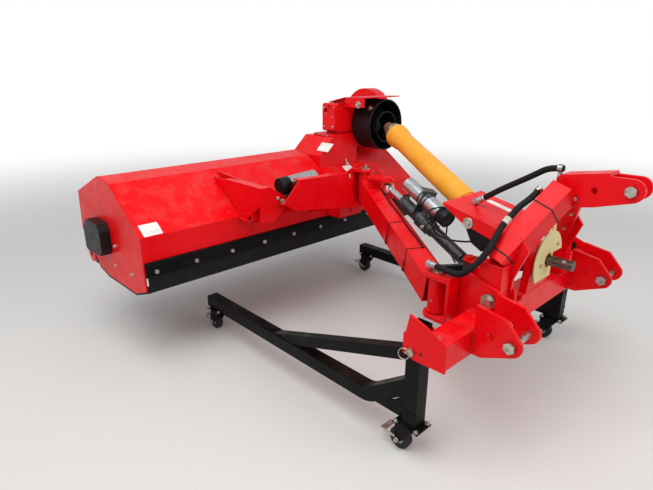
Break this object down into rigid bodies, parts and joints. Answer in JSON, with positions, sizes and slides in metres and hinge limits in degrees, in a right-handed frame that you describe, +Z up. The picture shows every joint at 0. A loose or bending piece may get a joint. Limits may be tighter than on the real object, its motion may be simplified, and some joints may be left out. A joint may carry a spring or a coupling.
{
  "type": "offset flail mower",
  "caption": "Red tractor-mounted flail mower on a swing arm that slides sideways and tilts, parked on its black wheeled stand.",
  "frame": {"origin": "middle of the footprint, at ground level", "axes": "+X to the machine's right, +Y forward to the tractor, +Z up"},
  "size_m": [1.6504, 1.9609, 1.04],
  "materials": {
    "red_paint": "gloss red enamel",
    "black_paint": "satin black paint",
    "cream_paint": "cream enamel",
    "zinc_steel": "zinc plated",
    "worn_steel": "bare and worn",
    "chrome_rod": "polished",
    "silver_motor": "satin",
    "grey_barrel": "dark grey satin",
    "black_rubber": "matte",
    "guard_plastic": "orange yellow",
    "black_plastic": "matte",
    "wheel_tyre": "smooth"
  },
  "bodies": {
    "hitch_frame": {"crossbeam": "red_paint", "hitch_plates": "red_paint", "hitch_pins": "zinc_steel", "mast": "red_paint", "top_link_pin": "zinc_steel", "bearing_housing": "red_paint", "input_shield_plate": "cream_paint", "joint_cover": "red_paint", "joint_skirts": "black_rubber", "arm_carrier": "red_paint", "carrier_pins": "zinc_steel", "stand_right": "black_paint", "stand_left": "black_paint", "stand_pins": "zinc_steel", "upper_hose": "black_rubber", "lower_hose": "black_rubber"},
    "input_shaft": {"input_shaft": "worn_steel"},
    "swing_arm": {"swing_arm": "red_paint"},
    "parallel_link": {"parallel_link": "red_paint"},
    "yoke": {"yoke": "red_paint", "yoke_pins": "zinc_steel"},
    "deck": {"deck_hood": "red_paint", "deck_end_outer": "red_paint", "deck_end_inner": "red_paint", "bulkhead": "red_paint", "runners": "black_paint", "bearing_cover": "black_plastic", "roller_brackets": "red_paint", "front_flaps": "black_rubber", "flap_strip": "black_paint", "deck_bracket": "red_paint", "tilt_guard": "red_paint", "tilt_bracket": "red_paint", "gearbox": "red_paint", "pedestal": "red_paint", "shield": "black_plastic", "joint_bell": "black_plastic", "gearbox_roof": "red_paint", "belt_case": "red_paint"},
    "rotor": {"rotor": "worn_steel"},
    "rear_roller": {"rear_roller": "black_paint"},
    "slide_barrel": {"slide_actuator": "grey_barrel", "slide_motor": "silver_motor"},
    "slide_rod": {"slide_rod": "chrome_rod"},
    "tilt_barrel": {"tilt_actuator": "grey_barrel", "tilt_motor": "silver_motor"},
    "tilt_rod": {"tilt_rod": "chrome_rod"},
    "drive_cross": {"drive_cross": "worn_steel"},
    "drive_front": {"drive_guard_front": "guard_plastic"},
    "drive_rear": {"drive_guard_rear": "guard_plastic", "drive_shaft_rear": "worn_steel"},
    "caster_fork_right_front": {"caster_fork_right_front": "black_paint"},
    "caster_wheel_right_front": {"caster_wheel_right_front": "wheel_tyre"},
    "caster_fork_left_front": {"caster_fork_left_front": "black_paint"},
    "caster_wheel_left_front": {"caster_wheel_left_front": "wheel_tyre"},
    "caster_fork_right_rear": {"caster_fork_right_rear": "black_paint"},
    "caster_wheel_right_rear": {"caster_wheel_right_rear": "wheel_tyre"},
    "caster_fork_left_rear": {"caster_fork_left_rear": "black_paint"},
    "caster_wheel_left_rear": {"caster_wheel_left_rear": "wheel_tyre"}
  },
  "joints": [
    {"name": "arm_swing", "type": "hinge", "parent": "hitch_frame", "child": "swing_arm", "pos_m": [0.17385, 0.5065, 0.45], "axis": [0, 0, 1], "range_deg": [0, 65]},
    {"name": "link_swing", "type": "hinge", "parent": "hitch_frame", "child": "parallel_link", "pos_m": [0.03985, 0.5145, 0.37], "axis": [0, 0, 1], "range_deg": [0, 65]},
    {"name": "yoke_turn", "type": "hinge", "parent": "swing_arm", "child": "yoke", "pos_m": [-0.22115, -0.1775, 0.632], "axis": [0, 0, 1], "range_deg": [-65, 0]},
    {"name": "deck_tilt", "type": "hinge", "parent": "yoke", "child": "deck", "pos_m": [-0.22615, -0.2535, 0.56], "axis": [0, -1, 0], "range_deg": [-12, 20]},
    {"name": "slide_barrel_turn", "type": "hinge", "parent": "hitch_frame", "child": "slide_barrel", "pos_m": [-0.04715, 0.4905, 0.486], "axis": [0.1123, -0.009, 0.9936], "range_deg": [0, 63]},
    {"name": "slide_rod_travel", "type": "slide", "parent": "slide_barrel", "child": "slide_rod", "axis": [-0.2267, -0.9112, 0.344], "range_m": [0, 0.24]},
    {"name": "tilt_barrel_turn", "type": "hinge", "parent": "deck", "child": "tilt_barrel", "pos_m": [0.23685, -0.2535, 0.636], "axis": [0, -1, 0], "range_deg": [-0.6, 0.9]},
    {"name": "tilt_rod_travel", "type": "slide", "parent": "tilt_barrel", "child": "tilt_rod", "axis": [-0.998, 0, 0.0625], "range_m": [-0.037, 0.023]},
    {"name": "drive_yaw", "type": "hinge", "parent": "hitch_frame", "child": "drive_cross", "pos_m": [-0.11615, 0.6365, 0.557], "axis": [0, 0, 1], "range_deg": [0, 48]},
    {"name": "drive_pitch", "type": "hinge", "parent": "drive_cross", "child": "drive_front", "pos_m": [-0.11615, 0.6365, 0.557], "axis": [0.6989, -0.3909, -0.5989], "range_deg": [-5, 8.2]},
    {"name": "drive_travel", "type": "slide", "parent": "drive_front", "child": "drive_rear", "axis": [-0.4214, -0.8686, 0.2606], "range_m": [-0.083, 0]},
    {"name": "rotor_spin", "type": "hinge", "parent": "deck", "child": "rotor", "pos_m": [-0.11615, -0.7335, 0.49], "axis": [1, 0, 0], "continuous": true},
    {"name": "input_spin", "type": "hinge", "parent": "hitch_frame", "child": "input_shaft", "pos_m": [-0.11615, 0.7265, 0.557], "axis": [0, 1, 0], "continuous": true},
    {"name": "roller_spin", "type": "hinge", "parent": "deck", "child": "rear_roller", "pos_m": [-0.11615, -0.9285, 0.357], "axis": [1, 0, 0], "continuous": true},
    {"name": "swivel_right_front", "type": "hinge", "parent": "hitch_frame", "child": "caster_fork_right_front", "pos_m": [0.39885, 0.5985, 0.095], "axis": [0, 0, 1], "continuous": true},
    {"name": "roll_right_front", "type": "hinge", "parent": "caster_fork_right_front", "child": "caster_wheel_right_front", "pos_m": [0.39885, 0.5625, 0.0375], "axis": [1, 0, 0], "continuous": true},
    {"name": "swivel_left_front", "type": "hinge", "parent": "hitch_frame", "child": "caster_fork_left_front", "pos_m": [-0.63115, 0.5985, 0.095], "axis": [0, 0, 1], "continuous": true},
    {"name": "roll_left_front", "type": "hinge", "parent": "caster_fork_left_front", "child": "caster_wheel_left_front", "pos_m": [-0.63115, 0.5625, 0.0375], "axis": [1, 0, 0], "continuous": true},
    {"name": "swivel_right_rear", "type": "hinge", "parent": "hitch_frame", "child": "caster_fork_right_rear", "pos_m": [0.39885, -0.4935, 0.095], "axis": [0, 0, 1], "continuous": true},
    {"name": "roll_right_rear", "type": "hinge", "parent": "caster_fork_right_rear", "child": "caster_wheel_right_rear", "pos_m": [0.39885, -0.5295, 0.0375], "axis": [1, 0, 0], "continuous": true},
    {"name": "swivel_left_rear", "type": "hinge", "parent": "hitch_frame", "child": "caster_fork_left_rear", "pos_m": [-0.63115, -0.4935, 0.095], "axis": [0, 0, 1], "continuous": true},
    {"name": "roll_left_rear", "type": "hinge", "parent": "caster_fork_left_rear", "child": "caster_wheel_left_rear", "pos_m": [-0.63115, -0.5295, 0.0375], "axis": [1, 0, 0], "continuous": true}
  ],
  "couplings": [
    {"joint": "link_swing", "follows": "arm_swing", "ratio": 1},
    {"joint": "yoke_turn", "follows": "arm_swing", "ratio": -1},
    {"joint": "slide_barrel_turn", "follows": "arm_swing", "ratio": 0.9687},
    {"joint": "slide_rod_travel", "follows": "arm_swing", "m_per_rad": 0.2001},
    {"joint": "drive_yaw", "follows": "arm_swing", "ratio": 0.7175},
    {"joint": "drive_travel", "follows": "arm_swing", "m_per_rad": -0.0711},
    {"joint": "tilt_barrel_turn", "follows": "deck_tilt", "ratio": 0.038},
    {"joint": "tilt_rod_travel", "follows": "deck_tilt", "m_per_rad": -0.1022},
    {"joint": "drive_pitch", "follows": "deck_tilt", "ratio": 0.398},
    {"joint": "input_spin", "follows": "rotor_spin", "ratio": 0.27}
  ]
}
